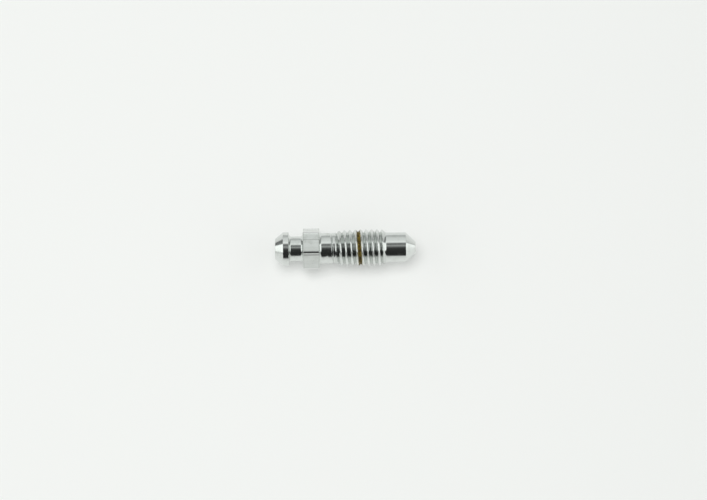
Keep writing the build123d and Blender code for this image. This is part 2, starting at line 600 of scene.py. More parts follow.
@dataclass(frozen=True)
class PlatedSteel:
    """Bright plating over turned, rolled and drawn steel, with lengths in metres."""

    colour: Colour = (0.74, 0.764, 0.748, 1)
    haze_colour: Colour = (0.59, 0.61, 0.58, 1)
    # Rubbed streaks on the hexagon, and painted shade at its ends, take this darker colour.
    rubbed_and_shade_colour: Colour = (0.51, 0.535, 0.51, 1)
    # Painted shade: a darker colour laid in the thread's grooves and flanks, below the crests.
    groove_shade_colour: Colour = (0.5, 0.525, 0.505, 1)
    # Painted reflection: two dark lines along the hexagon that stand for the dark room mirrored there.
    reflection_line_colour: Colour = (0.34, 0.34, 0.335, 1)
    # A lighter colour along the hexagon's edges and the thread's crests.
    light_edge_colour: Colour = (0.82, 0.825, 0.82, 1)
    stain_colour: Colour = (0.24, 0.18, 0.08, 1)
    haze_share: float = 0.5
    groove_shade_share: float = 0.4
    rubbed_share: float = 0.5
    # Painted shade at the hexagon's ends, as a share.
    end_shade_share: float = 0.6
    haze: Blotches = Blotches(700, detail=4, roughness=0.6, low=0.45, high=0.75)
    rubbed: Blotches = Blotches(1100, roughness=0.6, low=0.35, high=0.75)
    stain: Blotches = Blotches(2600, low=0.25, high=0.7)
    turned_marks: Blotches = Blotches(14000)
    drawn_marks: Blotches = Blotches(8400)
    turned_squeeze: float = 0.02
    drawn_squeeze: float = 0.03
    mark_strength: float = 0.2
    mark_height: float = 0.000004
    roughness: tuple[float, float] = (0.13, 0.24)
    haze_roughness: float = 0.7
    mark_roughness: float = 0.3
    stain_roughness: float = 0.3
    # Places and widths of the two painted dark reflection lines on the hexagon.
    top_line_place: float = 0.0005
    top_line: Ramp = (0.0, 0.00016, 0.45, 0.0)
    top_flat: tuple[float, float] = (0.00684, 0.00688)
    front_line_height: float = 0.00638
    front_line: Ramp = (0.0, 0.00028, 0.9, 0.0)
    front_side: Ramp = (-0.002, -0.001, 1.0, 0.0)

    def rubbed_and_shaded_places(self, w: Wiring, drawn: bpy.types.NodeSocket) -> bpy.types.NodeSocket:
        """Where the plating is darker: rubbed in streaks along the hexagon, and painted shade at its flats'
        ends.

        Args:
            w: the material's wiring.
            drawn: the place, squeezed along the bar.

        Returns:
            A share.
        """
        streaks = w.product(w.blotches(drawn, self.rubbed)["Share"], self.rubbed_share)
        # Painted shade: the hexagon's flats darken near both ends.
        ends = w.product(w.share("hexagon_end"), self.end_shade_share)
        return w.product(w.maths("MAXIMUM", streaks, ends), w.share("drawn_bar"))

    def painted_reflection_lines(self, w: Wiring, y: bpy.types.NodeSocket, z: bpy.types.NodeSocket) -> bpy.types.NodeSocket:
        """Two painted dark reflections along the hexagon: on the upper flat, and just below its front edge.

        Args:
            w: the material's wiring.
            y: the place across the screw.
            z: the height.

        Returns:
            A share.
        """
        off_top = w.maths("ABSOLUTE", w.maths("SUBTRACT", y, self.top_line_place))
        off_front = w.maths("ABSOLUTE", w.maths("SUBTRACT", z, self.front_line_height))
        top = w.product(w.ramp(off_top, *self.top_line), w.ramp(z, *self.top_flat))
        front = w.product(w.ramp(off_front, *self.front_line), w.ramp(y, *self.front_side))
        return w.product(w.maths("MAXIMUM", top, front), w.share("drawn_bar"))

    def material(self) -> bpy.types.Material:
        """Turning marks ring the axis, drawn marks run along the hexagon, and haze and stain lie over them.

        The turning marks are noise on the station and the distance from the axis, and the drawn marks are
        noise that is squeezed along the bar.

        Returns:
            The material.
        """
        material, w, shader, _ = new_material(Slot.STEEL.value)
        place = w.place()
        x, y, z = w.parts(place)
        high = w.maths("SUBTRACT", z, AXIS.height * MM)
        radius = w.maths("SQRT", w.maths("ADD", w.product(y, y), w.product(high, high)))
        turned = w.vector(x, radius, w.product(y, self.turned_squeeze))
        drawn = w.vector(w.product(x, self.drawn_squeeze), y, z)
        turned_marks = w.blotches(turned, self.turned_marks)["Noise"]
        drawn_marks = w.blotches(drawn, self.drawn_marks)["Noise"]
        marks = w.mix(w.share("drawn_bar"), turned_marks, drawn_marks, kind="FLOAT")
        haze = w.blotches(place, self.haze)["Share"]
        stain = w.product(w.share("compound_stain"), w.blotches(place, self.stain)["Share"])
        colour = w.mix(w.product(haze, self.haze_share), self.colour, self.haze_colour)
        # Painted shade in the thread's grooves and flanks.
        colour = w.mix(w.product(w.share("groove"), self.groove_shade_share), colour, self.groove_shade_colour)
        colour = w.mix(self.rubbed_and_shaded_places(w, drawn), colour, self.rubbed_and_shade_colour)
        # Painted reflection: two dark lines along the hexagon.
        colour = w.mix(self.painted_reflection_lines(w, y, z), colour, self.reflection_line_colour)
        # Lighter along the hexagon's edges and the thread's crests.
        colour = w.mix(w.share("worn_edge"), colour, self.light_edge_colour)
        colour = w.mix(stain, colour, self.stain_colour)
        w.feed(shader.inputs["Base Color"], colour)
        shader.inputs["Metallic"].default_value = 1.0
        uneven = w.maths("ADD", w.product(haze, self.haze_roughness), w.product(marks, self.mark_roughness))
        plain = w.ramp(uneven, 0.0, 1.0, *self.roughness)
        rough = w.maths("ADD", plain, w.product(stain, self.stain_roughness))
        w.feed(shader.inputs["Roughness"], rough)
        w.bump(shader, marks, self.mark_strength, self.mark_height)
        return material


@dataclass(frozen=True)
class SealingCompound:
    """Granular amber-brown compound with gold flecks, with lengths in metres."""

    core: Colour = (0.032, 0.017, 0.001, 1)
    body: Colour = (0.115, 0.078, 0.004, 1)
    rim: Colour = (0.2, 0.178, 0.05, 1)
    fleck: Colour = (0.45, 0.33, 0.055, 1)
    rim_share: float = 0.45
    fleck_share: float = 0.8
    clots: Blotches = Blotches(1500, roughness=0.6, low=0.42, high=0.6)
    flecks: Blotches = Blotches(2900, detail=2, low=0.56, high=0.68)
    grain: Blotches = Blotches(9000, roughness=0.6, low=0.3, high=0.7)
    grain_strength: float = 0.6
    grain_height: float = 0.00002
    roughness: tuple[float, float] = (0.38, 0.63)
    specular_level: float = 0.3

    def material(self) -> bpy.types.Material:
        """Dark compound with a thin pale rim and scattered flecks.

        Returns:
            The material.
        """
        material, w, shader, _ = new_material(Slot.COMPOUND.value)
        place = w.place()
        grain = w.blotches(place, self.grain)["Noise"]
        flecks = w.blotches(place, self.flecks)["Share"]
        colour = w.mix(w.blotches(place, self.clots)["Share"], self.core, self.body)
        colour = w.mix(w.product(w.share("thin_rim"), self.rim_share), colour, self.rim)
        colour = w.mix(w.product(flecks, self.fleck_share), colour, self.fleck)
        w.feed(shader.inputs["Base Color"], colour)
        w.feed(shader.inputs["Roughness"], w.ramp(grain, self.grain.low, self.grain.high, *self.roughness))
        shader.inputs["Specular IOR Level"].default_value = self.specular_level
        w.bump(shader, grain, self.grain_strength, self.grain_height)
        return material


@dataclass(frozen=True)
class PaleTable:
    """The plain pale sheet under the screw, with lengths in metres."""

    colour: Colour = (0.89, 0.905, 0.885, 1)
    # Painted shade: the sheet turns to this colour towards the right, where the light falls off.
    falloff_colour: Colour = (0.885, 0.9, 0.88, 1)
    darker: tuple[float, float] = (0.03, 0.07)
    roughness: float = 0.35
    own_light: float = 0.36
    reach: float = 1.2
    cells: int = 8

    def material(self) -> bpy.types.Material:
        """A matt sheet, darker towards the right by painted shade, with a share of its brightness of its own.

        Camera rays and mirrored ones see that share, as on a sheet that is lit from below, and the rest of
        its brightness comes from the lamps and keeps the shadow.

        Returns:
            The material.
        """
        material, w, shader, surface = new_material("pale_table")
        x, _, _ = w.parts(w.place())
        # Painted shade: a shade darker towards the right.
        colour = w.mix(w.ramp(x, *self.darker), self.colour, self.falloff_colour)
        w.feed(shader.inputs["Base Color"], colour)
        shader.inputs["Roughness"].default_value = self.roughness
        path = w.node("ShaderNodeLightPath")
        seen = w.maths("MAXIMUM", path.outputs["Is Camera Ray"], path.outputs["Is Glossy Ray"])
        glow = w.node("ShaderNodeEmission", colour).outputs[0]
        w.feed(surface, w.blend(w.product(seen, self.own_light), shader.outputs["BSDF"], glow))
        return material

    def build(self) -> bpy.types.Object:
        """A flat sheet at height 0, as a grid of two parameters along x and y.

        Returns:
            The stage piece.
        """
        side = np.linspace(-self.reach, self.reach, self.cells + 1)
        x, y = np.meshgrid(side, side, indexing="ij")
        points = np.stack([x, y, np.zeros_like(x)], -1).reshape(-1, 3)
        grid = np.arange(x.size).reshape(x.shape)
        sheet = shown("table_sheet", mesh_of("table_sheet", points, cell_triangles(grid)))
        sheet.data.materials.append(self.material())
        return sheet


@dataclass
class HoseEnd:
    """The bore's mouth, the conical nose, the barb land and the neck."""

    bore_radius: float = 0.9
    bore_depth: float = 23.8
    drill_point: float = 0.54
    drill_rounding: float = 0.05
    point_share: float = 0.1
    mouth_radius: float = 1.05
    mouth_depth: float = 0.15
    mouth_rounding: float = 0.03
    face_radius: float = 1.9
    face_rounding: float = 0.2
    land_start: float = 1.5
    land_end: float = 2.55
    land_radius: float = 3.1
    land_rounding: float = 0.07
    neck_radius: float = 2.3
    neck_fillet: float = 0.5

    def add_to(self, skin: Skin) -> None:
        """Adds the drilling from its point to its mouth, and the outside up to the hexagon's first face.

        Args:
            skin: the rows, of which these are the first.
        """
        skin.pole(self.bore_depth + self.drill_point)
        point = self.bore_depth + (1 - self.point_share) * self.drill_point
        outline = rounded_outline(
            [
                (point, self.point_share * self.bore_radius, 0),
                (self.bore_depth, self.bore_radius, self.drill_rounding),
                (self.mouth_depth, self.bore_radius, self.mouth_rounding),
                (0, self.mouth_radius, self.mouth_rounding),
                (0, self.face_radius, self.face_rounding),
                (self.land_start, self.land_radius, self.land_rounding),
                (self.land_end, self.land_radius, self.land_rounding),
                (self.land_end, self.neck_radius, self.neck_fillet),
                (STEPS.hexagon_start, self.neck_radius, self.neck_fillet),
                (STEPS.hexagon_start, self.neck_radius + 2 * self.neck_fillet, 0),
            ]
        )[:-1]
        skin.rings(outline[:, 0], outline[:, 1])


@dataclass
class Hexagon:
    """The spanner hexagon, with two flats level."""

    flat_distance: float = 3.45
    edge_radius: float = 0.38
    end_rounding: float = 0.12
    end_faces: int = 5
    inset_share: float = 0.5
    side_rows: tuple[float, ...] = (0.18, 0.3)
    face_shares: tuple[float, ...] = (0.3, 0.75, 0.95)

    def outline(self, turns: np.ndarray, inset: float) -> np.ndarray:
        """The distance from the axis to a hexagon with rounded edges, drawn in by an inset.

        On a flat it is the flat's distance over the cosine of the angle from the flat's middle. Near an
        edge it is the far crossing of the ray with the edge's circle, which shrinks with the inset.

        Args:
            turns: degrees round the axis, with an edge at 0.
            inset: how far the outline is drawn in.

        Returns:
            One distance a turn.
        """
        half_side = math.radians(30)
        flat = self.flat_distance - inset
        rounding = self.edge_radius - self.inset_share * inset
        off_edge = np.radians(np.abs((turns + 30) % 60 - 30))
        centre = (flat - rounding) / math.cos(half_side)
        tangent = half_side - math.atan(centre / (2 * flat))
        on_flat = flat / np.cos(half_side - off_edge)
        across = np.clip(rounding**2 - (centre * np.sin(off_edge)) ** 2, 0, None)
        return np.where(off_edge < tangent, centre * np.cos(off_edge) + np.sqrt(across), on_flat)

    def add_to(self, skin: Skin, inner_start: float, inner_end: float) -> None:
        """Adds both end faces, their rounded rims and the flats between them.

        A rim is a quarter circle: it is drawn in by 1 less the sine, and stands in by 1 less the cosine.

        Args:
            skin: the rows so far, up to the first end face.
            inner_start: radius at which the first end face begins.
            inner_end: radius at which the second one stops.
        """
        start, end = STEPS.hexagon_start, STEPS.hexagon_end
        bend = np.radians(np.linspace(0, 90, self.end_faces + 1))
        drawn_in = self.end_rounding * (1 - np.sin(bend))
        along = self.end_rounding * (1 - np.cos(bend))
        rim = np.stack([self.outline(skin.turns, inset) for inset in drawn_in])
        inner = np.array(self.side_rows)
        middle = np.concatenate([start + inner, [(start + end) / 2], (end - inner)[::-1]])
        side = np.repeat(self.outline(skin.turns, 0.0)[None], len(middle), axis=0)
        for share in self.face_shares:
            skin.rings(np.array([start]), (1 - share) * inner_start + share * rim[:1])
        skin.rings(start + along, rim)
        skin.rings(middle, side)
        skin.rings((end - along)[::-1], rim[::-1])
        for share in self.face_shares[::-1]:
            skin.rings(np.array([end]), (1 - share) * inner_end + share * rim[:1])


@dataclass
class ThreadedLength:
    """The shank, the rolled thread and the run-outs at both its ends."""

    shank_radius: float = 2.85
    shank_fillet: float = 0.5
    helix_start: float = 9.7
    thread_start: float = 11.05
    thread_end: float = 20.38
    pitch: float = 1.0
    first_groove: float = 11.25
    crest_radius: float = 3.44
    root_radius: float = 2.874
    root_half_width: float = 0.04
    root_blend: float = 0.07
    shoulder_blend: float = 0.06
    roof_angle: float = 44.5
    ridge_rounding: float = 0.035
    flank_angle: float = 30.0
    lead_angle: float = 30.0
    end_angle: float = 45.0
    corner_blend: float = 0.1
    lead_foot_blend: float = 0.09
    end_foot_blend: float = 0.3
    mark_depth: float = 0.095
    mark_half_width: float = 0.18
    # The turns where the mark is full and where it is gone.
    mark_turns: tuple[float, float] = (110.0, 10.0)
    # How much lower the first crests stand, by station.
    crest_shortfall: tuple[tuple[float, float], ...] = (
        (11.3, 0.22), (11.8, 0.19), (12.6, 0.1), (13.6, 0.08), (14.6, 0.045), (15.7, 0.0),
    )
    # The mesh's rows from the groove's middle to just before the ridge.
    row_places: tuple[float, ...] = (
        0, 0.025, 0.055, 0.09, 0.14, 0.185, 0.22, 0.25, 0.285, 0.34, 0.4, 0.445, 0.472, 0.488,
    )

    def lines(self) -> np.ndarray:
        """Where the mesh has its rows in one pitch, as distances from the groove's middle."""
        near = np.array(self.row_places)
        return np.concatenate([near, [self.pitch / 2], self.pitch - near[:0:-1]])

    def section(self, off: np.ndarray, shortfall: np.ndarray) -> np.ndarray:
        """The thread's section, as a radius by distance from the groove's middle.

        It is the higher of the flat root and the straight flank, cut by two flatter roofs. The roofs fall
        from the ridge by their slope times the root of distance squared plus ridge rounding squared. Where
        the blank was thin, the roofs stand lower by the shortfall.

        Args:
            off: distances along the axis from the groove's middle, from nothing to one pitch.
            shortfall: how much lower the roofs stand.

        Returns:
            One radius a place.
        """
        half = self.pitch / 2
        from_root = half - np.abs(off - half)
        from_ridge = half - from_root
        steep = 1 / math.tan(math.radians(self.flank_angle))
        flank = self.root_radius + (from_root - self.root_half_width) * steep
        groove = -soft_lower(-flank, np.full_like(flank, -self.root_radius), self.root_blend)
        fall = np.sqrt(from_ridge**2 + self.ridge_rounding**2) - self.ridge_rounding
        roof = self.crest_radius - shortfall - fall * math.tan(math.radians(self.roof_angle))
        return soft_lower(groove, roof, self.shoulder_blend)

    def envelope(self, stations: np.ndarray) -> np.ndarray:
        """The highest the metal stands at each station.

        The cones at both ends rise from the shank and from the pilot, with their feet blended in.

        Args:
            stations: distances from the hose end.

        Returns:
            One radius a station.
        """
        lead_rise = (stations - self.thread_start) * math.tan(math.radians(self.lead_angle))
        end_rise = (self.thread_end - stations) * math.tan(math.radians(self.end_angle))
        lead = self.shank_radius - soft_lower(-lead_rise, 0 * stations, self.lead_foot_blend)
        end = STEPS.pilot_radius - soft_lower(-end_rise, 0 * stations, self.end_foot_blend)
        return np.minimum(lead, end)

    def roll_mark(self, stations: np.ndarray, turns: np.ndarray) -> np.ndarray:
        """The shallow mark that the rolling die left one turn before the thread, as a depth.

        It is a shallow V across, and fades in along the turn.

        Args:
            stations: distances from the hose end.
            turns: degrees round the axis.

        Returns:
            One depth a place.
        """
        off = stations - (self.first_groove - self.pitch + self.pitch * turns / 360)
        across = fading(np.abs(off), 0, self.mark_half_width)
        return self.mark_depth * fading(turns, *self.mark_turns) * across

    def radius(self, stations: np.ndarray, turns: np.ndarray) -> np.ndarray:
        """The radius anywhere on the threaded length.

        The thread's section repeats each pitch along a helix, and is cut off by the envelope.

        Args:
            stations: distances from the hose end.
            turns: degrees round the axis.

        Returns:
            One radius a place.
        """
        off = (stations - self.first_groove - self.pitch * turns / 360) % self.pitch
        thread = self.section(off, np.interp(stations, *np.array(self.crest_shortfall).T))
        cut = soft_lower(thread, self.envelope(stations), self.corner_blend)
        return cut - self.roll_mark(stations, turns)

    def add_to(self, skin: Skin) -> None:
        """Adds the fillet under the hexagon, the shank and the thread on rows that follow its helix.

        The fillet is a quarter circle, and one more row of the shank stands beside it.

        Args:
            skin: the rows so far, up to the hexagon's second face.
        """
        bend = np.radians(np.linspace(90, 0, ARC_FACES + 1))
        stations = STEPS.hexagon_end + self.shank_fillet * (1 - np.sin(bend))
        skin.rings(stations, self.shank_radius + self.shank_fillet * (1 - np.cos(bend)))
        beside = STEPS.hexagon_end + (1 + BESIDE_ARC) * self.shank_fillet
        skin.rings(np.array([beside]), np.array([self.shank_radius]))
        span = (self.helix_start, STEPS.pilot_start)
        skin.helix(self.first_groove + self.lines(), self.pitch, span, self.radius)


@dataclass
class SeatEnd:
    """The plain pilot and the seat cone with its blunt tip."""

    cone_start: float = 24.1
    cone_rounding: float = 0.06
    tip_station: float = 25.92
    tip_radius: float = 0.95
    tip_rounding: float = 0.15
    tip_ring: float = 0.3

    def add_to(self, skin: Skin) -> None:
        """Adds the pilot, the cone and the tip's flat face, which a pole closes.

        Args:
            skin: the rows so far, up to the pilot's first ring.
        """
        outline = rounded_outline(
            [
                (STEPS.pilot_start, STEPS.pilot_radius, 0),
                (self.cone_start, STEPS.pilot_radius, self.cone_rounding),
                (self.tip_station, self.tip_radius, self.tip_rounding),
                (self.tip_station, self.tip_ring, 0),
            ]
        )[1:]
        skin.rings(outline[:, 0], outline[:, 1])
        skin.pole(self.tip_station)


@dataclass
class CrossHole:
    """The hole across the pilot that meets the bore."""

    station: float = 23.05
    radius: float = 0.75
    turn: float = -30.0
    reach: float = 3.4
    sides: int = 64

    def cutter(self) -> bpy.types.Object:
        """A round bar from the axis outwards: circles about the hole's line at two distances, and two poles.

        Returns:
            The cutting object.
        """
        line = math.radians(self.turn)
        out = np.array([0, math.cos(line), math.sin(line)])
        across = np.array([0, -math.sin(line), math.cos(line)])
        foot = np.array([self.station - AXIS.half_length, 0, AXIS.height])
        angle = np.linspace(0, 2 * math.pi, self.sides, endpoint=False)
        circle = self.radius * (np.outer(np.cos(angle), (1, 0, 0)) + np.outer(np.sin(angle), across))
        head = foot + self.reach * out
        points = np.vstack([foot, foot + circle, head + circle, head]) * MM
        near = 1 + np.arange(self.sides)
        beside = 1 + (np.arange(self.sides) + 1) % self.sides
        far, far_beside = near + self.sides, beside + self.sides
        first, last = np.zeros_like(near), np.full_like(near, 2 * self.sides + 1)
        corners = (
            (first, beside, near),
            (near, beside, far_beside),
            (near, far_beside, far),
            (last, far, far_beside),
        )
        triangles = np.vstack([np.stack(each, -1) for each in corners])
        return shown("cross_hole_cutter", mesh_of("cross_hole_cutter", points, triangles))

    def drill(self, piece: bpy.types.Object) -> None:
        """Cuts the hole into a piece and keeps the result as the piece's own mesh.

        Args:
            piece: the piece to drill.
        """
        cutter = self.cutter()
        cut = piece.modifiers.new("cross_hole", "BOOLEAN")
        cut.operation, cut.solver, cut.object = "DIFFERENCE", "EXACT", cutter
        graph = bpy.context.evaluated_depsgraph_get()
        drilled = bpy.data.meshes.new_from_object(piece.evaluated_get(graph))
        piece.modifiers.clear()
        old, piece.data = piece.data, drilled
        drilled.name = old.name
        bpy.data.meshes.remove(old)
        bpy.data.objects.remove(cutter)


@dataclass
class ScrewBody:
    """The whole one-piece screw."""

    hose_end: HoseEnd = field(default_factory=HoseEnd)
    hexagon: Hexagon = field(default_factory=Hexagon)
    threaded: ThreadedLength = field(default_factory=ThreadedLength)
    seat_end: SeatEnd = field(default_factory=SeatEnd)
    cross_hole: CrossHole = field(default_factory=CrossHole)
    finish: PlatedSteel = field(default_factory=PlatedSteel)
    edge_turns: tuple[float, ...] = (0, 0.3, 0.6, 0.9, 1.2, 1.5, 1.83)
    flat_turns: tuple[float, float, int] = (2.2, 30, 13)
    sharp_angle: float = 38.0
    rim_width: float = 0.06
    drawn_radius: float = 3.3
    crest_lightening: float = 0.7
    stain_half_width: float = 0.42
    stain_power: int = 4
    stain_lift: float = 0.75
    # Each pair says where a share is full and where it is none.
    end_reach: tuple[float, float] = (0.15, 0.3)
    light_edge_turns: tuple[float, float] = (1.6, 2.4)
    light_crest_depth: tuple[float, float] = (0.01, 0.06)
    groove_shade_depth: tuple[float, float] = (0.3, 0.2)

    def turns(self) -> np.ndarray:
        """The rows' places round the axis: close together over the hexagon's edges, even over its flats.

        Returns:
            Degrees, from 0 up to a full turn.
        """
        half = np.concatenate([self.edge_turns, np.linspace(*self.flat_turns)])
        sextant = np.concatenate([half, 60 - half[-2:0:-1]])
        return (sextant[None] + 60 * np.arange(6)[:, None]).ravel()

    def shares(self, mesh: bpy.types.Mesh) -> None:
        """Writes where the bar was drawn, edges are lighter, shade is painted and compound stains the flanks.

        Each is worked out from the points' stations, radii and turns.

        Args:
            mesh: the body's mesh.
        """
        station, radius, turn = AXIS.cylindrical(positions(mesh))
        from_end = np.minimum(station - STEPS.hexagon_start, STEPS.hexagon_end - station)
        on_side = (from_end > self.rim_width) & (radius > self.drawn_radius)
        add_share(mesh, "drawn_bar", on_side.astype(float))
        # The hexagon_end share is painted shade near both ends of the hexagon's flats.
        add_share(mesh, "hexagon_end", on_side * fading(from_end, *self.end_reach))
        # Lighter along the hexagon's edges and the thread's crests, by nearness to the edge and depth below
        # the crest.
        edge = on_side * fading(np.abs((turn + 30) % 60 - 30), *self.light_edge_turns)
        threaded = self.threaded
        in_thread = (station > threaded.thread_start) & (station < threaded.thread_end)
        depth = threaded.crest_radius - radius
        crest = in_thread * fading(depth, *self.light_crest_depth)
        add_share(mesh, "worn_edge", np.maximum(edge, self.crest_lightening * crest))
        # The groove share marks painted shade in the thread's grooves and flanks, by depth below the crests.
        add_share(mesh, "groove", in_thread * fading(depth, *self.groove_shade_depth))
        groove = (station - threaded.first_groove) / threaded.pitch - turn / 360
        beside = np.exp(-(((groove - SEAL_GROOVE) / self.stain_half_width) ** self.stain_power))
        facing = np.clip(np.cos(np.radians(turn - SEAL_TURN)) + self.stain_lift, 0, 1)
        add_share(mesh, "compound_stain", in_thread * beside * facing)

    def build(self) -> bpy.types.Object:
        """Builds the closed skin, drills it across and dresses it.

        Returns:
            The piece that stands for the solid screw.
        """
        skin = Skin(self.turns())
        self.hose_end.add_to(skin)
        fillet_top = self.hose_end.neck_radius + self.hose_end.neck_fillet
        shank_top = self.threaded.shank_radius + self.threaded.shank_fillet
        self.hexagon.add_to(skin, fillet_top, shank_top)
        self.threaded.add_to(skin)
        self.seat_end.add_to(skin)
        piece = shown("turned_screw", skin.mesh("turned_screw"))
        self.cross_hole.drill(piece)
        self.shares(piece.data)
        piece.data.set_sharp_from_angle(angle=math.radians(self.sharp_angle))
        piece.data.materials.clear()
        piece.data.materials.append(self.finish.material())
        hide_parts(SCREW_NODE)
        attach(piece, BODY)
        return piece


@dataclass(frozen=True)
class Lumps:
    """One layer of lumps on the bead.

    It is smooth noise, with so many cells in a lump length along the bead and in half the bead's width
    across it. Its middle says which cell lies on the bead's middle line.
    """

    along: float
    across: float
    middle: float
    seed: int

    def noise(self, arc: np.ndarray, across: np.ndarray) -> np.ndarray:
        """The layer's height.

        Args:
            arc: places along the bead, in lump lengths.
            across: places from -1 to 1 from flank to flank.

        Returns:
            A number from -1 to 1 a place.
        """
        return smooth_noise(self.along * arc, across * self.across + self.middle, self.seed)


@dataclass
class SealBead:
    """The bead of sealing compound in one turn of the groove."""

    threaded: ThreadedLength = field(default_factory=ThreadedLength)
    sweep: float = 338.0
    edge_radius: float = 3.32
    middle_radius: float = 3.17
    end_radius: float = 2.95
    end_dip: float = 0.02
    fullness_power: float = 0.8
    sag_power: float = 5.0
    gap: float = 0.006
    lip: float = 0.01
    lump_length: float = 0.16
    lump_height: float = 0.035
    grain_share: float = 0.5
    ragged_height: float = 0.05
    ragged: Lumps = Lumps(0.8, 3.0, 0, 5)
    lumps: Lumps = Lumps(1.0, 2.2, 7, 11)
    grain: Lumps = Lumps(2.3, 4.6, 3, 23)
    # How late the lumps die out and the rim thins towards the flanks.
    calm_power: int = 6
    rim_power: int = 3
    along_rows: int = 361
    across_rows: int = 17
    finish: SealingCompound = field(default_factory=SealingCompound)

    def shoulder_radius(self) -> float:
        """The radius at which the flank's line and the roof's line cross.

        Returns:
            A distance from the axis.
        """
        thread = self.threaded
        flank = math.tan(math.radians(thread.flank_angle))
        roof = 1 / math.tan(math.radians(thread.roof_angle))
        across = thread.pitch / 2 - thread.ridge_rounding - thread.root_half_width
        return (thread.crest_radius * roof - thread.root_radius * flank - across) / (roof - flank)

    def half_width(self, radius: np.ndarray) -> np.ndarray:
        """Half the groove's width at a radius, between the flanks or the roofs above them, less the gap.

        Args:
            radius: distances from the axis.

        Returns:
            One half width a radius.
        """
        thread = self.threaded
        rise = (radius - thread.root_radius) * math.tan(math.radians(thread.flank_angle))
        fall = (thread.crest_radius - radius) / math.tan(math.radians(thread.roof_angle))
        between_flanks = thread.root_half_width + rise
        between_roofs = thread.pitch / 2 - thread.ridge_rounding - fall
        return np.maximum(between_flanks, between_roofs) - self.gap

    def upper_side(self, along: np.ndarray, across: np.ndarray) -> tuple[np.ndarray, np.ndarray]:
        """The bead's upper side, which sags as a parabola from flank to flank, with lumps of smooth noise.

        It sinks towards the root as a power of the cosine of the angle from the thick side. Its middle
        sinks faster than its edges, so that the groove is open at the top and the bottom.

        Args:
            along: from -1 to 1 along the bead, one a row.
            across: from -1 to 1 from flank to flank.

        Returns:
            The radii at the flanks, and those of the whole upper side.
        """
        fullness = np.cos(0.5 * math.pi * along) ** self.fullness_power
        low = self.end_radius - self.end_dip
        edge = self.end_radius + (self.edge_radius - self.end_radius) * fullness
        middle = low + (self.middle_radius - low) * fullness**self.sag_power
        arc = np.radians(SEAL_TURN + along * self.sweep / 2) * edge / self.lump_length
        lumps = self.lumps.noise(arc, across) + self.grain_share * self.grain.noise(arc, across)
        ragged = edge + self.ragged_height * fullness * self.ragged.noise(arc, np.sign(across))
        lift = self.lump_height * fullness * lumps * (1 - across**self.calm_power)
        return ragged, middle + (ragged - middle) * across**2 + lift

    def build(self) -> bpy.types.Object:
        """A closed band carried round the groove.

        Its section is the upper side from flank to flank, and the other sides follow the groove just off
        the metal: down the right flank, back along the root and up the left flank.

        Returns:
            The piece that stands for the solid bead.
        """
        along = np.linspace(-1, 1, self.along_rows)[:, None]
        across = np.linspace(-1, 1, self.across_rows)[None]
        turn = SEAL_TURN + along * self.sweep / 2
        ragged, top_radius = self.upper_side(along, across)
        floor_radius = np.full_like(along, self.threaded.root_radius + self.gap)
        shoulder = self.shoulder_radius()
        left, right = (np.minimum(shoulder, ragged[:, [side]] - self.lip) for side in (0, -1))
        top_off = self.half_width(ragged) * across
        low_off = self.half_width(floor_radius) * across[:, ::-1]
        offs = np.hstack([top_off, self.half_width(right), low_off, -self.half_width(left)])
        radii = np.hstack([top_radius, right, floor_radius + 0 * low_off, left])
        centre = self.threaded.first_groove + self.threaded.pitch * (SEAL_GROOVE + turn / 360)
        points = AXIS.points(centre + offs, radii, np.broadcast_to(turn, offs.shape))
        count, around = offs.shape
        grid = np.arange(count * around).reshape(count, around)
        grid = np.hstack([grid, grid[:, :1]])
        triangles = [cell_triangles(grid)]
        for row, flip in ((0, False), (count - 1, True)):
            ring = grid[row, :-1]
            fan = np.stack([np.full(len(ring) - 2, ring[0]), ring[1:-1], ring[2:]], -1)
            triangles.append(fan[:, ::-1] if flip else fan)
        mesh = mesh_of("seal_bead", points, np.concatenate(triangles))
        thinning = np.abs(across) ** self.rim_power + 0 * along
        rim = np.hstack([thinning, np.ones((count, around - across.size))])
        add_share(mesh, "thin_rim", rim.ravel())
        piece = shown("seal_bead", mesh)
        piece.data.materials.append(self.finish.material())
        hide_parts(SEAL_NODE)
        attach(piece, BODY)
        return piece


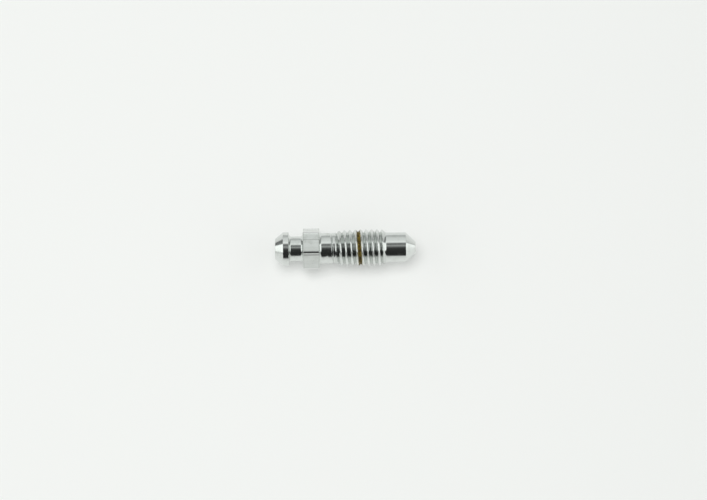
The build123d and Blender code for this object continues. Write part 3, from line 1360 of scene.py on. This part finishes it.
@dataclass
class Studio:
    """A white tent round the screw, with a dark patch where the camera and the dark room look in."""

    elevation: float = 70.1
    roll: float = 0.85
    distance: float = 0.6
    field_width: float = 130.4
    aim: tuple[float, float] = (1.49, -0.37)
    sensor: float = 36.0
    clip: tuple[float, float] = (0.05, 10.0)
    lamp_power: float = 2.27
    lamp_direction: tuple[float, float, float] = (-0.16, 0.03, 0.99)
    lamp_width: float = 0.5
    backdrop: Colour = (0.89, 0.905, 0.885, 1)
    soft_colour: Colour = (0.985, 1, 0.99, 1)
    mirror_colour: Colour = (0.97, 1, 0.98, 1)
    front_light: Ramp = (-0.5, 0.9, 0.1, 0.5)
    side_light: Ramp = (0.6, 0.85, 0.0, 1.3)
    # The fabric's brightness, by degrees from the camera round the screw's axis.
    tent: tuple[tuple[float, float], ...] = (
        (-180, 0.6), (-79, 0.85), (-73, 0.75), (-69, 0.28), (-64, 0.035), (-54, 0.019), (-30, 0.025),
        (-10, 0.033), (0, 0.08), (5, 0.17), (10, 0.32), (16, 0.42), (20, 0.22), (27, 0.13), (31, 0.18),
        (35, 0.6), (39, 0.82), (45, 1.0), (49, 0.95), (54, 0.82), (70, 0.79), (80, 0.76), (86, 0.68),
        (92, 0.58), (104, 0.54), (120, 0.55), (180, 0.6),
    )
    side_brightness: float = 1.35
    side_reach: tuple[float, float] = (0.56, 0.7)
    side_front: tuple[float, float] = (-21.0, -11.0)
    side_lean: float = 0.6
    side_back: tuple[float, float] = (14.5, 20.5)
    corner_back: Ramp = (46.0, 66.0, 1.0, 0.0)
    corner_top: Ramp = (24.0, 40.0, 1.0, 0.0)
    corner_depth: Ramp = (-0.3, 0.3, 0.68, 0.62)

    def towards_camera(self) -> Vector:
        """The direction from the screw to the camera."""
        rise = math.radians(self.elevation)
        return Vector((0, -math.cos(rise), math.sin(rise)))

    def upwards(self) -> Vector:
        """The direction that points up in the picture, square to the view."""
        rise = math.radians(self.elevation)
        return Vector((0, math.sin(rise), math.cos(rise)))

    def add_camera(self) -> bpy.types.Object:
        """A long lens that looks down on the screw, rolled so that the axis rises to the right.

        Returns:
            The camera.
        """
        data = bpy.data.cameras.new("camera")
        data.sensor_width = self.sensor
        data.lens = self.sensor * self.distance / (self.field_width * MM)
        data.clip_start, data.clip_end = self.clip
        camera = bpy.data.objects.new("camera", data)
        bpy.context.scene.collection.objects.link(camera)
        back, up = self.towards_camera(), self.upwards()
        right, rise = self.aim
        target = Vector((right * MM, 0, AXIS.height * MM)) + up * rise * MM
        camera.location = target + back * self.distance
        upright = Matrix((Vector((1, 0, 0)), up, back)).transposed().to_quaternion()
        camera.rotation_mode = "QUATERNION"
        camera.rotation_quaternion = upright @ Quaternion((0, 0, 1), math.radians(-self.roll))
        bpy.context.scene.camera = camera
        return camera

    def add_lamp(self) -> bpy.types.Object:
        """A round soft lamp overhead, which bright metal doesn't mirror.

        Returns:
            The lamp.
        """
        data = bpy.data.lights.new("overhead_lamp", "AREA")
        data.shape, data.size, data.energy = "DISK", self.lamp_width, self.lamp_power
        lamp = bpy.data.objects.new("overhead_lamp", data)
        bpy.context.scene.collection.objects.link(lamp)
        direction = Vector(self.lamp_direction).normalized()
        lamp.location = direction * self.distance
        lamp.rotation_mode = "QUATERNION"
        lamp.rotation_quaternion = direction.to_track_quat("Z", "Y")
        lamp.visible_glossy = False
        lamp.visible_camera = False
        return lamp

    def fabric(self, w: Wiring, angle: bpy.types.NodeSocket) -> bpy.types.NodeSocket:
        """The tent's fabric as a mirror shows it.

        Args:
            w: the world's wiring.
            angle: the mirror ray's angle from the camera round the screw's axis, in degrees.

        Returns:
            Its brightness.
        """
        share = w.maths("ADD", w.maths("DIVIDE", angle, 360.0), 0.5)
        fabric = w.node("ShaderNodeValToRGB", share)
        stops = fabric.color_ramp.elements
        for place, _ in self.tent[1:-1]:
            stops.new(place / 360 + 0.5)
        for stop, (_, brightness) in zip(stops, self.tent):
            stop.color = (brightness, brightness, brightness, 1)
        return fabric.outputs[0]

    def add_world(self) -> bpy.types.World:
        """The tent as light by direction.

        Matt surfaces see a soft tent, brighter at the front and at both sides. Bright metal sees the tent's
        fabric: its brightness by the mirror ray's angle from the camera round the screw's axis, brighter
        where a lamp stands behind the fabric at either side, and darker in the two far corners. The lamps
        and corners go by the ray's bearing from straight aside, and by its height. Camera rays see the pale
        backdrop.

        Returns:
            The world.
        """
        world = bpy.data.worlds.new("tent")
        world.use_nodes = True
        bpy.context.scene.world = world
        w = Wiring(world.node_tree)
        direction = w.node("ShaderNodeTexCoord").outputs["Generated"]
        x, y, z = w.parts(direction)

        def along(axis: Vector) -> bpy.types.NodeSocket:
            """How far the ray's direction points along an axis."""
            dot = w.node("ShaderNodeVectorMath", direction, tuple(axis), operation="DOT_PRODUCT")
            return dot.outputs["Value"]

        angle = w.maths("DEGREES", w.maths("ARCTAN2", along(self.upwards()), along(self.towards_camera())))
        aside = w.maths("ABSOLUTE", x)
        bearing = w.maths("DEGREES", w.maths("ARCTAN2", y, aside))
        height = w.maths("DEGREES", w.maths("ARCSINE", z))
        leaning = w.maths("ADD", bearing, w.product(height, self.side_lean))
        past_back = w.ramp(bearing, *self.side_back)
        between = w.maths("SUBTRACT", w.ramp(leaning, *self.side_front), past_back)
        lamp = w.maths("MULTIPLY", w.ramp(aside, *self.side_reach), between, clamp=True)
        between_backs = w.product(past_back, w.ramp(bearing, *self.corner_back))
        corner = w.product(between_backs, w.ramp(height, *self.corner_top))
        shade = w.maths("SUBTRACT", 1.0, w.product(corner, w.ramp(x, *self.corner_depth)))
        plain = w.product(self.fabric(w, angle), w.maths("SUBTRACT", 1.0, lamp))
        lit = w.product(lamp, self.side_brightness)
        mirrored = w.product(w.maths("ADD", plain, lit), shade)
        front = w.ramp(w.maths("MULTIPLY", y, -1.0), *self.front_light)
        soft = w.maths("ADD", front, w.ramp(aside, *self.side_light))

        path = w.node("ShaderNodeLightPath").outputs
        tent = w.background(self.soft_colour, soft)
        mirror = w.background(self.mirror_colour, mirrored)
        lights = w.blend(path["Is Glossy Ray"], tent, mirror)
        seen = w.blend(path["Is Camera Ray"], lights, w.background(self.backdrop))
        w.node("ShaderNodeOutputWorld", seen)
        return world


def main() -> None:
    """Loads the solids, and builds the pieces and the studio."""
    logging.basicConfig(level=logging.INFO, format="%(name)s: %(message)s")
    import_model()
    bpy.context.scene.view_settings.view_transform = "Standard"
    studio = Studio()
    studio.add_camera()
    studio.add_lamp()
    studio.add_world()
    PaleTable().build()
    for piece in (ScrewBody().build(), SealBead().build()):
        log.info("%s: %d triangles", piece.name, len(piece.data.polygons))


if __name__ == "__main__":
    main()
